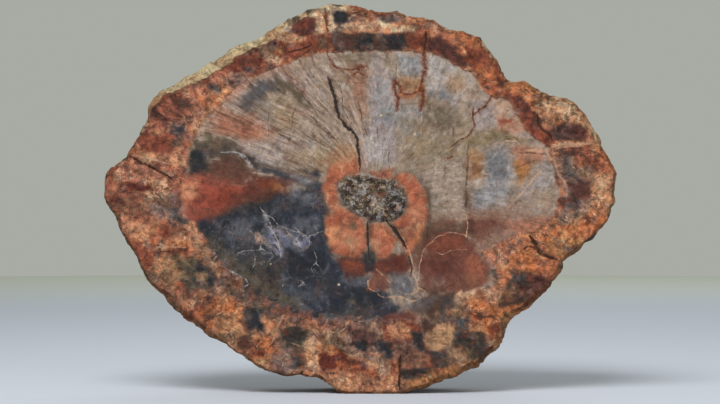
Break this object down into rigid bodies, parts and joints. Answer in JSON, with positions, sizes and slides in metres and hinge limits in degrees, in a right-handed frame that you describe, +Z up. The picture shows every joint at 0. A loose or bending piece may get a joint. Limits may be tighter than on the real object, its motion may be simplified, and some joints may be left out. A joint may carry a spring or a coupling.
{
  "type": "petrified wood slab",
  "caption": "Thick cross-section of a petrified log with a polished, vividly stained face and a rough bark edge, standing on a small flat place on the edge, for display.",
  "frame": {"origin": "middle of the bounding box in X and Y, at the plane that the slab stands on", "axes": "+Z up as the slab stands, +X to the right along its longest side as the polished face is seen, +Y along the grain of the old trunk, from the polished face to the back face"},
  "size_m": [0.299, 0.045, 0.2271],
  "materials": {
    "petrified_wood": "polished sawn face, rough natural bark edge, plain sawn back"
  },
  "bodies": {
    "root": {"petrified_wood_slab": "petrified_wood"}
  },
  "joints": []
}
